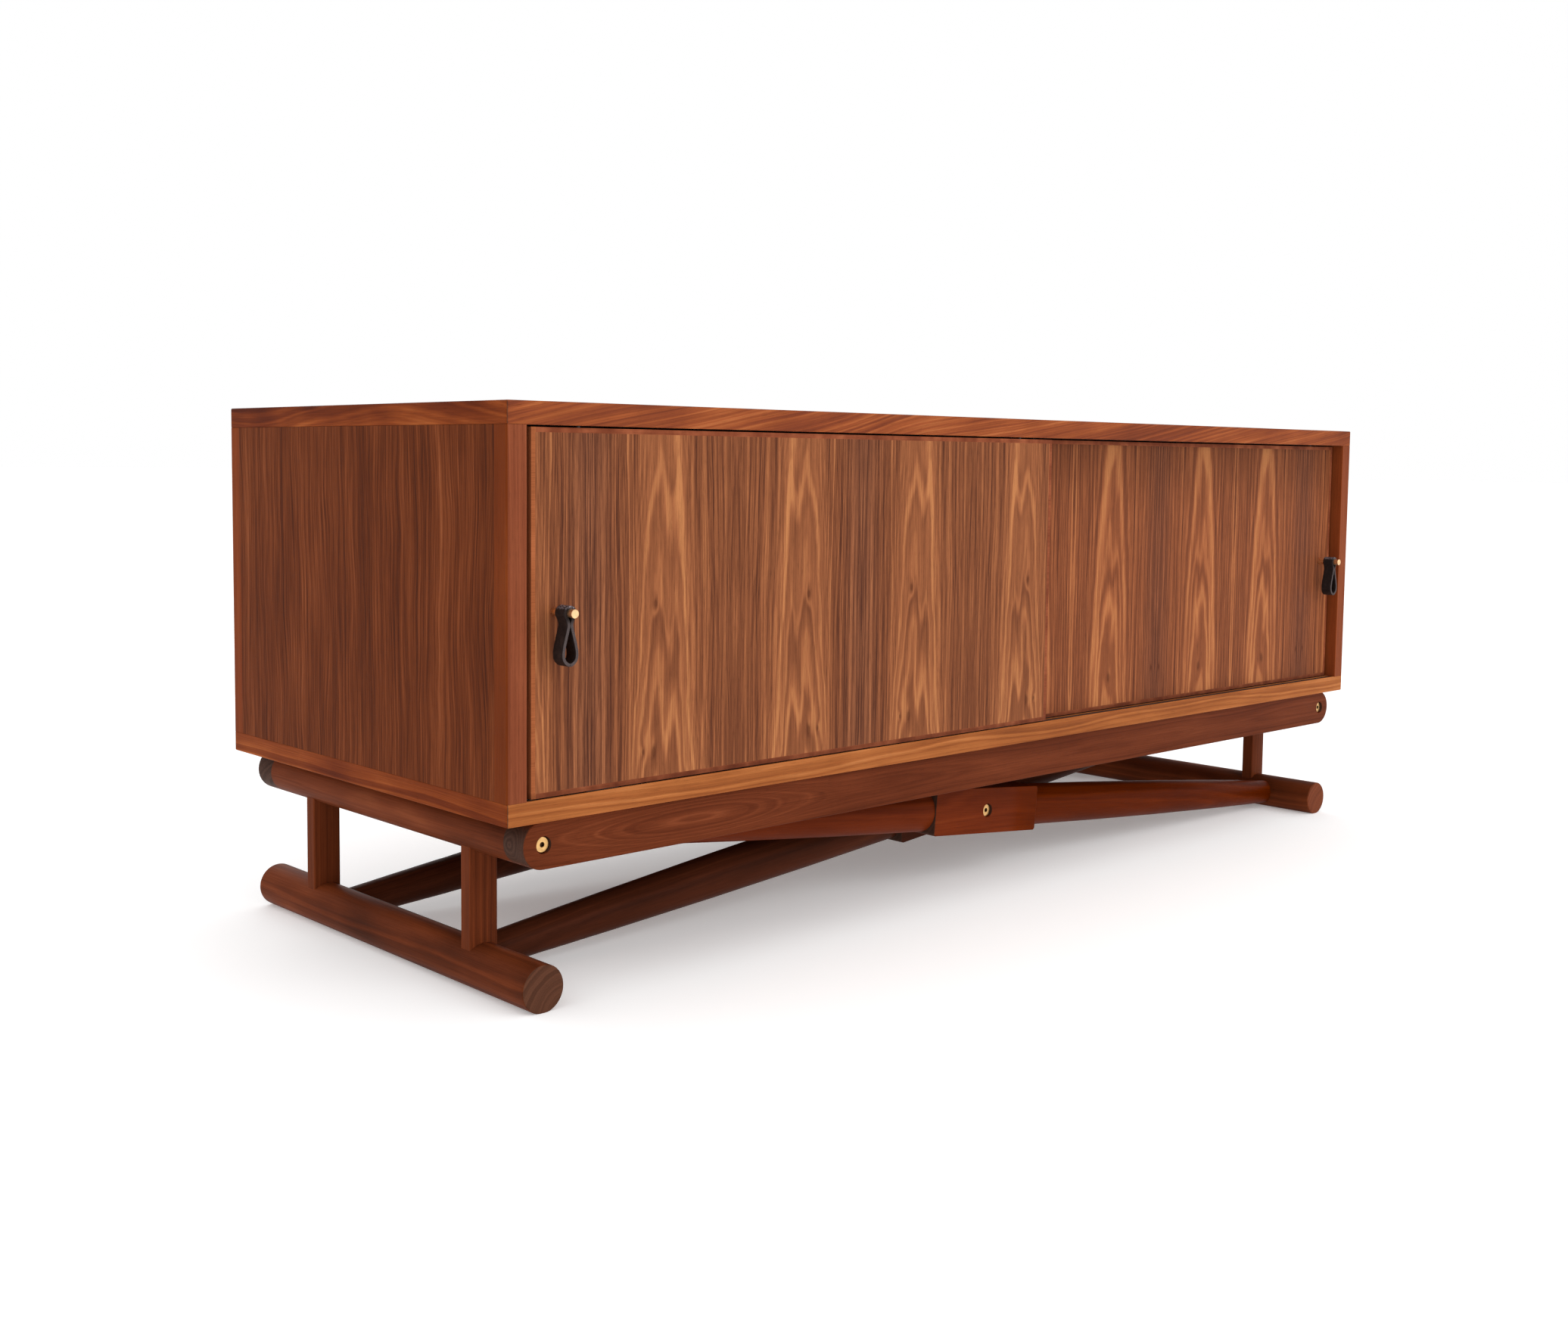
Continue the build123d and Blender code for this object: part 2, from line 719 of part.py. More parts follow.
for name in SIDES:
    panel, lippings = door_pieces(name)
    parts[f"{name}_door_panel"] = panel
    parts[f"{name}_door_lippings"] = lippings
    parts[f"{name}_door_glides"] = [glide(x, name) for x in glide_x(name)]
    for where, x in zip(SIDES, guide_x(name)):
        parts[f"{name}_door_{where}_guide_pin"] = guide_pin(x, name)
        parts[f"{name}_door_{where}_guide_spring"] = guide_spring(x, name)
    parts[f"{name}_pull_post"] = pull_post(name)
    parts[f"{name}_pull_screw"] = pull_screw(name)
    parts[f"{name}_pull_loop"] = pull_loop(name)

for end_name, end in ENDS.items():
    parts[f"{end_name}_beam"] = beam(end)
    for kind in brace_y:
        parts[f"{end_name}_{kind}_brace"] = brace(kind, end)
for name, side in SIDES.items():
    parts[f"{name}_upper_rail"] = drilled_upper_rail(side)
    parts[f"{name}_foot_rail"] = rail(side, foot_z, foot_length)
    for end_name, end in ENDS.items():
        parts[f"{name}_{end_name}_post"] = post(side * rail_x, -end * post_y)
parts["beam_bolts"] = [
    bolt(x, y + way * bolt_head_depth, upper_z, beam_bolt_length, way)
    for x, y, way in beam_bolt_spots()
]
block_face = brace_seam - brace_block
parts["brace_bolts"] = [
    bolt(0, -end * (block_face + bolt_head_depth), crossing_z, brace_bolt_length, -end)
    for end in ENDS.values()
]
parts["threaded_inserts"] = [
    insert(x, y + way * beam_thick, upper_z, way) for x, y, way in beam_bolt_spots()
] + [insert(0, -end * brace_seam, crossing_z, -end) for end in ENDS.values()]
parts["case_screws"] = case_screws()

to_origin = Pos(0, pull_reach / 2, 0)
os.makedirs("parts", exist_ok=True)
for node, shape in parts.items():
    solids = []
    for item in shape if isinstance(shape, list) else [shape]:
        solids += (to_origin * item).solids()
    whole = solids[0] if len(solids) == 1 else Compound(solids)
    export_step(whole, f"parts/{node}.step")
print(len(parts), "parts")
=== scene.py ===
"""Looks of the media cabinet: walnut veneer and solid walnut, brass, leather loops, plain white studio."""

import math

import bpy
from mathutils import Matrix, Vector


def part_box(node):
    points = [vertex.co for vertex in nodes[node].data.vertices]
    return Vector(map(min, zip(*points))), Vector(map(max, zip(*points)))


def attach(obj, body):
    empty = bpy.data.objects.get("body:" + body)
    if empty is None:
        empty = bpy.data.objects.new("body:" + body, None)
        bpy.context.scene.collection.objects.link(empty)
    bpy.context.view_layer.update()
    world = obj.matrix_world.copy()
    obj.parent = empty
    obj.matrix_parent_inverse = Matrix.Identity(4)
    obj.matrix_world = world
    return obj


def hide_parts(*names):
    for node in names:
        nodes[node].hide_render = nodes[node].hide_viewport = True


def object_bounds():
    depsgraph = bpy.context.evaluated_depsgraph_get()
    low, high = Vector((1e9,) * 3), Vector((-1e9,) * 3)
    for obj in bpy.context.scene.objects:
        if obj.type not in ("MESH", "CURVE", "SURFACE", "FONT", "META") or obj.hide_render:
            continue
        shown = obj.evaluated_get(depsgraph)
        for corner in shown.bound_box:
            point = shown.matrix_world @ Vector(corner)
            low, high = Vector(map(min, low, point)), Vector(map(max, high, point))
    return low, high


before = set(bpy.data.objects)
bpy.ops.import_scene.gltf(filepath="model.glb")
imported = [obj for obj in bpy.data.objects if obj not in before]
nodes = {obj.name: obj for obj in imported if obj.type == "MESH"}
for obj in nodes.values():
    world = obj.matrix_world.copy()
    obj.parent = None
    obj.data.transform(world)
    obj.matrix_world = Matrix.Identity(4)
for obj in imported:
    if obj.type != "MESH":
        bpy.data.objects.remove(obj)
cad_low, cad_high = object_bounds()

MM = 1000.0  # millimetres in a metre: the shaders and the strap's outline are in millimetres
AXES = {"X": 0, "Y": 1, "Z": 2}
MIX_A, MIX_B, MIX_RESULT = 6, 7, 2  # the colour sockets of a Mix node


def srgb(r, g, b):
    """An 8-bit display colour as the linear colour that shaders take."""
    return tuple(((c / 255 + 0.055) / 1.055) ** 2.4 for c in (r, g, b)) + (1.0,)


class Shade:
    """A material's node tree, with short ways to add nodes to it."""

    def __init__(self, name):
        self.material = bpy.data.materials.new(name)
        self.material.use_nodes = True
        self.tree = self.material.node_tree
        self.shader = self.tree.nodes["Principled BSDF"]
        self.coordinates = self.add("ShaderNodeTexCoord")

    def add(self, kind, **settings):
        node = self.tree.nodes.new(kind)
        for key, value in settings.items():
            setattr(node, key, value)
        return node

    def feed(self, socket, value):
        if isinstance(value, bpy.types.NodeSocket):
            self.tree.links.new(value, socket)
        else:
            socket.default_value = value

    def feed_all(self, node, **values):
        """Fills named inputs; a word's underscores stand for spaces."""
        for key, value in values.items():
            self.feed(node.inputs[key.replace("_", " ")], value)

    def math(self, operation, *values):
        node = self.add("ShaderNodeMath", operation=operation)
        for socket, value in zip(node.inputs, values):
            self.feed(socket, value)
        return node.outputs[0]

    def plus(self, first, *others):
        for other in others:
            first = self.math("ADD", first, other)
        return first

    def minus(self, a, b):
        return self.math("SUBTRACT", a, b)

    def times(self, a, b):
        return self.math("MULTIPLY", a, b)

    def length(self, a, b):
        """The length of a line that runs a one way and b the other."""
        return self.math("SQRT", self.plus(self.times(a, a), self.times(b, b)))

    def split(self, output):
        node = self.add("ShaderNodeSeparateXYZ")
        self.feed(node.inputs[0], self.coordinates.outputs[output])
        return node.outputs

    def place(self):
        """X, Y and Z in millimetres, in the row frame at rest."""
        return [self.times(out, MM) for out in self.split("Object")]

    def facing(self, axis):
        """How squarely the surface faces along an axis, from 0 to 1."""
        return self.math("ABSOLUTE", self.split("Normal")[AXES[axis]])

    def join(self, *values):
        """A vector of up to three values, each a number, (number, scale) or (number, scale, offset)."""
        node = self.add("ShaderNodeCombineXYZ")
        for socket, value in zip(node.inputs, values):
            if isinstance(value, tuple):
                number, scale, *offset = value
                value = self.plus(self.times(number, scale), *offset)
            self.feed(socket, value)
        return node.outputs[0]

    def noise(self, *values, detail=2.0, rough=0.5):
        """Smooth noise from 0 to 1; the values are as join takes them."""
        node = self.add("ShaderNodeTexNoise", noise_dimensions="3D")
        self.feed_all(node, Vector=self.join(*values), Scale=1.0, Detail=detail, Roughness=rough)
        return node.outputs["Fac"]

    def bands(self, value, detail=2.0, rough=0.5):
        """Irregular bands along one number."""
        node = self.add("ShaderNodeTexNoise", noise_dimensions="1D")
        self.feed_all(node, W=value, Scale=1.0, Detail=detail, Roughness=rough)
        return node.outputs["Fac"]

    def centred(self, value, weight):
        """A noise as a push that is zero where the noise is 0.5."""
        return self.times(self.minus(value, 0.5), weight)

    def swing(self, value, size):
        """A noise turned into a push of about plus or minus size."""
        return self.centred(value, 2 * size)

    def step(self, value, low, high, out_low=0.0, out_high=1.0):
        node = self.add("ShaderNodeMapRange", interpolation_type="SMOOTHSTEP")
        self.feed_all(node, Value=value, From_Min=low, From_Max=high, To_Min=out_low, To_Max=out_high)
        return node.outputs[0]

    def hump(self, x, x0, width, z=None, z0=0.0, height=1.0):
        """A smooth bump of height 1 at x0 (and z0)."""
        reach = self.math("POWER", self.math("DIVIDE", self.minus(x, x0), width), 2.0)
        if z is not None:
            up = self.math("DIVIDE", self.minus(z, z0), height)
            reach = self.plus(reach, self.times(up, up))
        return self.math("EXPONENT", self.times(reach, -1.0))

    def ramp(self, value, stops):
        node = self.add("ShaderNodeValToRGB")
        self.feed(node.inputs[0], value)
        ramp = node.color_ramp
        while len(ramp.elements) < len(stops):
            ramp.elements.new(0.5)
        for element, (place, colour) in zip(ramp.elements, stops):
            element.position = place
            element.color = srgb(*colour)
        return node.outputs[0]

    def blend(self, share, a, b):
        node = self.add("ShaderNodeMix", data_type="RGBA")
        self.feed(node.inputs["Factor"], share)
        self.feed(node.inputs[MIX_A], a)
        self.feed(node.inputs[MIX_B], b)
        return node.outputs[MIX_RESULT]

    def value_of(self, colour, brightness, saturation=1.0):
        node = self.add("ShaderNodeHueSaturation")
        self.feed_all(node, Color=colour, Value=brightness, Saturation=saturation)
        return node.outputs[0]

    def bump(self, height, distance, strength):
        node = self.add("ShaderNodeBump")
        self.feed_all(node, Height=height, Distance=distance, Strength=strength)
        self.feed(self.shader.inputs["Normal"], node.outputs[0])

    def specular(self, level):
        self.shader.inputs["Specular IOR Level"].default_value = level

    def finish(self, colour, roughness, metallic=0.0):
        self.feed_all(self.shader, Base_Color=colour, Roughness=roughness, Metallic=metallic)
        return self.material


def dress(material, *names):
    for name in names:
        slots = nodes[name].data.materials
        slots.clear()
        slots.append(material)


# ---------------------------------------------------------------- wood
# Scales are features per millimetre; the small one of a pair runs along the grain.
FIBRE_ACROSS, FIBRE_ALONG = 1.1, 0.012
FIBRE_DARK, FIBRE_BRIGHT = 0.84, 1.11
FIBRE_RELIEF = 0.4  # of a pore's depth
PORE_ACROSS, PORE_ALONG = 2.3, 0.07
PORE_START, PORE_FULL = 0.6, 0.72
PORE_DARKNESS, FIGURED_PORE_DARKNESS = 0.2, 0.3
PORE_DEPTH, PORE_STRENGTH = 0.00008, 0.6  # the depth is in metres
WOOD_SATURATION = 1.01
WOOD_SPECULAR = 0.02
FIGURED_GLOSS, STRAIGHT_GLOSS, SOLID_GLOSS, BRACE_GLOSS, DOOR_EDGE_GLOSS = 0.46, 0.5, 0.44, 0.4, 0.42
DULLER, SHINIER = 0.06, 0.05  # how far fibres move the roughness each way

FLAME_DRIFT = 9  # how far a leaf's middle wanders sideways
FLAME_NOSE = 420.0  # square of the radius that rounds a flame's tip
FLAME_SLOPE, FLAME_CURVE = 6.5, 0.12  # climb with the distance from the middle, and with its square
FLAME_PITCH = 100.0  # climb from one flame to the next
FLAME_WANDER, FLAME_RIPPLE = 80, 20  # how far slow and quick noise push the flames
FLAME_BASE, FLAME_CONTRAST, FLAME_DASH = 0.57, 0.46, 0.75
FLAME_FOOT, FLAME_FOOT_WIDTH, FLAME_TOP, FLAME_TOP_WIDTH = 220.0, 50.0, 590.0, 34.0
KNOT_PUSH, KNOT_STRETCH = 60.0, 2.6
EYE_WIDTH, EYE_HEIGHT, EYE_DARKNESS, EYE_COLOUR = 0.5, 1.1, 0.7, (80, 42, 27)
TONGUE_FOOT, TONGUE_TOP, TONGUE_WIDTH, TONGUE_BRIGHTNESS = 320.0, 580.0, 6.0, 0.26
PALE_FOOT, PALE_END, PALE_BRIGHTNESS = 240.0, 400.0, 0.14
STREAK_SWAY = 7
GREY_START, GREY_FULL = 0.78, 0.99  # the greyer wood at a leaf's far side, in leaf widths
GREY_DEPTH, GREY_SHARE, GREY_BRIGHTNESS, GREY_SATURATION = -0.07, 0.4, 0.88, 0.92
# brightness at a panel's top under painted shade
TOP_SHADE = 0.73
STRAIGHT_DRIFT = 14  # how far straight streaks wander sideways

SOLID_END_TONE = (70, 48, 39)
RAIL_END_TONE = (86, 54, 40)
RING_RIPPLE = 0.5  # of a ring's width
DEEPER_SATURATION = 0.35  # how much saturation rises as a part under painted shade loses brightness
SQUARE_ON, FULL_ON = 0.4, 0.8  # how squarely a surface faces where end grain's tone, or a face's painted light and shade, starts and is full


def wood_finish(s, colour, across, depth, along, seed, gloss, pores=PORE_DARKNESS):
    """Adds fibres and open pores to a wood colour, and the low sheen of an oiled surface."""
    fibre = s.noise(
        (across, FIBRE_ACROSS), (along, FIBRE_ALONG, seed), (depth, FIBRE_ACROSS), detail=3.0, rough=0.6
    )
    pore = s.noise((across, PORE_ACROSS), (along, PORE_ALONG, seed), (depth, PORE_ACROSS), detail=1.0)
    dark_pore = s.step(pore, PORE_START, PORE_FULL)
    brightness = s.minus(s.step(fibre, 0.25, 0.75, FIBRE_DARK, FIBRE_BRIGHT), s.times(dark_pore, pores))
    colour = s.value_of(colour, brightness, WOOD_SATURATION)
    s.bump(s.minus(s.times(fibre, FIBRE_RELIEF), dark_pore), PORE_DEPTH, PORE_STRENGTH)
    s.specular(WOOD_SPECULAR)
    return s.finish(colour, s.step(fibre, 0.2, 0.8, gloss + DULLER, gloss - SHINIER))


def flame_height(s, side, along, leaf_number, seed):
    """A number that climbs along the grain and to both sides of the middle, so its bands nest as flames."""
    beside = s.times(side, side)
    reach = s.math("SQRT", s.plus(beside, FLAME_NOSE))
    climb = s.plus(s.times(reach, FLAME_SLOPE), s.times(beside, FLAME_CURVE))
    slow = s.noise((side, 0.04), (along, 0.008), (leaf_number, 0.14, seed))
    quick = s.noise((side, 0.2), (along, 0.02), seed + 3.0)
    return s.plus(along, climb, s.swing(slow, FLAME_WANDER), s.swing(quick, FLAME_RIPPLE))


def flame_tone(s, side, along, band, dash, fan):
    """The tone in a leaf's middle: flames broken by dashes, and a pale tongue where fan gives its lean."""
    tone = s.plus(s.centred(band, FLAME_CONTRAST), s.centred(dash, FLAME_DASH), FLAME_BASE)
    if fan:
        lean_at_top, lean_at_foot = fan
        lean = s.step(along, TONGUE_FOOT, TONGUE_TOP, lean_at_foot, lean_at_top)
        tongue = s.hump(s.minus(side, lean), 0.0, TONGUE_WIDTH)
        tone = s.plus(tone, s.times(tongue, TONGUE_BRIGHTNESS))
        tone = s.plus(tone, s.step(along, PALE_END, PALE_FOOT, 0.0, PALE_BRIGHTNESS))
    return tone


def streak_tone(s, strip, band, dash, seed):
    """The tone at a leaf's sides: straight streaks, with a few clear pale and dark lines."""
    streak = s.bands(s.plus(s.times(strip, 0.2), seed), 4.0, 0.8)
    pale_line = s.step(s.bands(s.plus(s.times(strip, 0.11), seed + 21.0), 1.0), 0.67, 0.71)
    dark_line = s.step(s.bands(s.plus(s.times(strip, 0.26), seed + 43.0), 1.0), 0.62, 0.70)
    return s.plus(
        s.centred(streak, 0.95),
        s.centred(dash, 1.3),
        s.times(pale_line, 0.24),
        s.times(dark_line, -0.12),
        s.centred(band, 0.12),
        0.41,
    )


def figured_veneer(name, grain, joint, leaf, centre, seed, tones, dips=(), knots=(), shade_top=None, fan=None):
    """Flat-cut leaves laid as mirror pairs: nested flames up each leaf's middle and straight streaks at its sides.

    joint is where two leaves meet, leaf their width, and centre the distance from the joint to a flame's middle.
    dips are (off centre, width, depth) of notches in the flames; knots are (off centre, height, size).
    shade_top is the two heights between which painted shade darkens the panel towards its top. fan is how far off
    centre a pale tongue stands at the top and at the foot. All are in millimetres.
    """
    s = Shade(name)
    x, y, z = s.place()
    across, along, depth = {"Z": (x, z, y), "X": (y, x, z)}[grain]
    from_joint = s.minus(across, joint)
    leaf_x = s.math("PINGPONG", from_joint, leaf)
    leaf_number = s.math("FLOOR", s.math("DIVIDE", from_joint, leaf))
    drift = s.swing(s.noise((leaf_x, 0.02), (along, 0.006), (leaf_number, 0.05, seed)), FLAME_DRIFT)
    side = s.plus(leaf_x, -centre, drift)

    height = flame_height(s, side, along, leaf_number, seed)
    for dip_x, dip_width, dip_depth in dips:
        height = s.plus(height, s.times(s.hump(side, dip_x, dip_width), dip_depth))
    eyes = 0.0
    for knot_x, knot_z, size in knots:
        swirl = s.hump(side, knot_x, size, along, knot_z, size * KNOT_STRETCH)
        height = s.plus(height, s.times(swirl, KNOT_PUSH))
        eyes = s.plus(eyes, s.hump(side, knot_x, size * EYE_WIDTH, along, knot_z, size * EYE_HEIGHT))
    band = s.step(s.bands(s.plus(s.times(height, 1 / FLAME_PITCH), seed * 7.1), 1.0, 0.4), 0.3, 0.7)

    sway = s.swing(s.noise((leaf_x, 0.03), (along, 0.003), (leaf_number, 0.1, seed)), STREAK_SWAY)
    strip = s.plus(leaf_x, sway)
    dash = s.noise((strip, 0.55), (along, 0.009), seed + 31.0, detail=4.0, rough=0.75)
    flame = flame_tone(s, side, along, band, dash, fan)
    lines = streak_tone(s, strip, band, dash, seed)
    middle = s.hump(side, 0.0, s.step(along, FLAME_FOOT, FLAME_TOP, FLAME_FOOT_WIDTH, FLAME_TOP_WIDTH))
    share = s.step(s.plus(middle, s.swing(dash, 0.16)), 0.15, 0.8)
    tone = s.plus(s.times(flame, share), s.times(lines, s.minus(1.0, share)))

    grey = s.step(leaf_x, leaf * GREY_START, leaf * GREY_FULL)
    colour = s.ramp(s.plus(tone, s.times(grey, GREY_DEPTH)), tones)
    greyer = s.value_of(colour, GREY_BRIGHTNESS, GREY_SATURATION)
    colour = s.blend(s.times(grey, GREY_SHARE), colour, greyer)
    colour = s.blend(s.math("MINIMUM", eyes, EYE_DARKNESS), colour, srgb(*EYE_COLOUR))
    # painted shade: the panel darkens towards its top
    if shade_top:
        colour = s.value_of(colour, s.step(along, *shade_top, 1.0, TOP_SHADE))
    return wood_finish(s, colour, across, depth, along, seed, FIGURED_GLOSS, FIGURED_PORE_DARKNESS)


def straight_veneer(name, grain, seed, tones, scale=1.0):
    """Straight streaks along the grain, in slow broad tones."""
    s = Shade(name)
    x, y, z = s.place()
    across, along = (s.plus(x, y), z) if grain == "Z" else (s.plus(y, z), x)
    drift = s.swing(s.noise((across, 0.012), (along, 0.0045), seed), STRAIGHT_DRIFT)
    strip = s.plus(across, drift)
    broad = s.bands(s.plus(s.times(strip, 0.022 * scale), seed))
    streak = s.bands(s.plus(s.times(strip, 0.2 * scale), seed + 5), 3.0, 0.7)
    dash = s.noise((strip, 0.32 * scale), (along, 0.007), seed + 17, detail=4.0, rough=0.72)
    patch = s.noise((strip, 0.02), (along, 0.006), seed + 9)
    tone = s.plus(
        0.45,
        s.centred(broad, 0.45),
        s.centred(streak, 0.6),
        s.centred(dash, 1.5),
        s.centred(patch, 0.35),
    )
    return wood_finish(s, s.ramp(tone, tones), across, 0.0, along, seed, STRAIGHT_GLOSS)


def solid_wood(
    name,
    grain,
    pith,
    spacing,
    seed,
    tones,
    wave,
    slope=0.0,
    end_tone=SOLID_END_TONE,
    gloss=SOLID_GLOSS,
    patchy=0.4,
    contrast=0.5,
    faces=(),
    swell=None,
    darker=None,
):
    """Wood cut from the round: growth rings about a pith line, so the figure runs on round every edge.

    pith is where the line runs, spacing the rings' width and wave how far the line wanders, in millimetres;
    slope tips the grain by that many degrees. faces are (axis, brightness, saturation) of faces made lighter or
    darker by painted light and shade. swell is (where along the grain, half length, depth): there the rings close
    into nested ovals. darker is (from, to, brightness): painted shade darkens the wood between those two places
    along the grain.
    """
    s = Shade(name)
    x, y, z = s.place()
    if slope:
        lean = math.radians(slope)
        x, z = (
            s.plus(s.times(x, math.cos(lean)), s.times(z, math.sin(lean))),
            s.plus(s.times(z, math.cos(lean)), s.times(x, -math.sin(lean))),
        )
    along, p, q = {"X": (x, y, z), "Y": (y, x, z), "Z": (z, x, y)}[grain]
    bend_p = s.swing(s.noise((along, 0.0028), (q, 0.006), seed, detail=1.0), wave)
    bend_q = s.swing(s.noise((along, 0.0024), (p, 0.006), seed + 4, detail=1.0), wave)
    far_p = s.plus(p, -pith[0], bend_p)
    if swell:
        swell_place, swell_length, swell_depth = swell
        far_p = s.plus(far_p, s.times(s.hump(along, swell_place, swell_length), swell_depth))
    far_q = s.plus(q, -pith[1], bend_q)
    local = s.swing(s.noise((along, 0.006), (p, 0.05), (q, 0.05, seed)), RING_RIPPLE)
    rings = s.plus(s.times(s.length(far_p, far_q), 1 / spacing), local, seed * 3.3)
    band = s.bands(rings, 2.5, 0.6)
    patch = s.noise((along, 0.006), (p, 0.02), (q, 0.02, seed))
    tone = s.plus(0.5, s.centred(band, contrast), s.centred(patch, patchy))
    end = s.step(s.facing(grain), SQUARE_ON, FULL_ON)
    end_colour = s.value_of(srgb(*end_tone), s.step(band, 0.3, 0.7, 0.8, 1.2))
    colour = s.blend(end, s.ramp(tone, tones), end_colour)
    # painted light and shade: faces along an axis are made lighter or darker, as light falls on them
    for axis, brightness, saturation in faces:
        squarely = s.facing(axis)
        colour = s.value_of(
            colour,
            s.step(squarely, SQUARE_ON, FULL_ON, 1.0, brightness),
            s.step(squarely, SQUARE_ON, FULL_ON, 1.0, saturation),
        )
    # painted shade: the wood darkens between two places along the grain
    if darker:
        start, full, brightness = darker
        deeper = s.step(along, start, full, 1.0, brightness)
        colour = s.value_of(colour, deeper, s.minus(1 + DEEPER_SATURATION, s.times(deeper, DEEPER_SATURATION)))
    return wood_finish(s, colour, p, q, along, seed, gloss)


def tone_stops(*stops):
    """Ramp stops from (place, red, green, blue) rows."""
    return [(place, tuple(colour)) for place, *colour in stops]


LEFT_TONES = tone_stops(
    (0.1, 80, 45, 32), (0.32, 108, 62, 41), (0.5, 129, 77, 50), (0.68, 149, 91, 59), (0.92, 177, 116, 74)
)
DOOR_TONES = tone_stops(
    (0.1, 84, 46, 32), (0.32, 113, 63, 41), (0.5, 134, 77, 49), (0.68, 153, 91, 58), (0.92, 180, 116, 73)
)
SIDE_TONES = tone_stops(
    (0.1, 66, 30, 16), (0.35, 90, 42, 20), (0.55, 107, 53, 27), (0.75, 124, 65, 36), (0.92, 140, 80, 48)
)
EDGE_TONES = tone_stops((0.15, 78, 30, 14), (0.4, 106, 46, 20), (0.6, 130, 62, 28), (0.85, 164, 90, 46))
BRIGHT_TONES = tone_stops((0.15, 118, 64, 36), (0.4, 144, 82, 44), (0.6, 164, 98, 54), (0.85, 188, 120, 72))
RED_TONES = tone_stops((0.15, 98, 48, 32), (0.45, 122, 64, 42), (0.65, 140, 77, 51), (0.85, 158, 92, 62))
RUST_TONES = tone_stops((0.15, 98, 47, 28), (0.45, 124, 63, 39), (0.65, 143, 77, 48), (0.85, 162, 93, 60))
TOP_TONES = tone_stops((0.15, 92, 46, 32), (0.42, 120, 60, 38), (0.62, 144, 76, 44), (0.88, 178, 106, 64))
BEAM_TONES = tone_stops((0.12, 70, 32, 18), (0.4, 92, 43, 24), (0.62, 106, 52, 30), (0.88, 132, 70, 43))
BASE_TONES = tone_stops((0.12, 56, 27, 16), (0.4, 90, 42, 22), (0.62, 112, 54, 29), (0.88, 140, 75, 44))
# A darker copy of the brace walnut, as painted shade, for the braces set back under the case.
SHADED_BRACE_TONES = tone_stops((0.12, 40, 19, 12), (0.4, 62, 30, 18), (0.62, 78, 38, 23), (0.88, 100, 54, 33))
DARK_TONES = tone_stops((0.12, 62, 22, 9), (0.4, 92, 35, 14), (0.62, 112, 46, 20), (0.88, 136, 64, 31))

dress(
    figured_veneer(
        "left_door_walnut",
        "Z",
        joint=-505.0,
        leaf=195.0,
        centre=98.0,
        seed=1.7,
        tones=LEFT_TONES,
        dips=((-4.0, 8.5, 92.0),),
        knots=((11.0, 250.0, 6.5), (26.0, 251.0, 3.0), (14.0, 404.0, 4.5)),
        fan=(-14.0, -40.0),
    ),
    "left_door_panel",
)
dress(
    figured_veneer(
        "right_door_walnut",
        "Z",
        joint=105.0,
        leaf=195.0,
        centre=86.5,
        seed=6.2,
        tones=DOOR_TONES,
        dips=((5.0, 7.0, 40.0),),
        knots=((2.0, 262.0, 6.5), (100.0, 268.0, 3.6)),
        fan=(-8.0, -30.0),
        shade_top=(470.0, 575.0),
    ),
    "right_door_panel",
)
dress(straight_veneer("side_walnut", "Z", 2.4, SIDE_TONES), "left_side_panel", "right_side_panel")
dress(straight_veneer("back_walnut", "Z", 7.9, SIDE_TONES, scale=0.7), "back_panel")
dress(straight_veneer("inner_walnut", "Z", 5.1, SIDE_TONES), "centre_divider")
dress(straight_veneer("shelf_walnut", "X", 8.3, SIDE_TONES), "left_shelf", "right_shelf")
dress(
    figured_veneer(
        "top_walnut",
        "X",
        joint=-254.0,
        leaf=180.0,
        centre=92.0,
        seed=3.3,
        tones=DOOR_TONES,
        dips=((-9.0, 9.0, 50.0),),
    ),
    "top_panel",
    "bottom_panel",
)

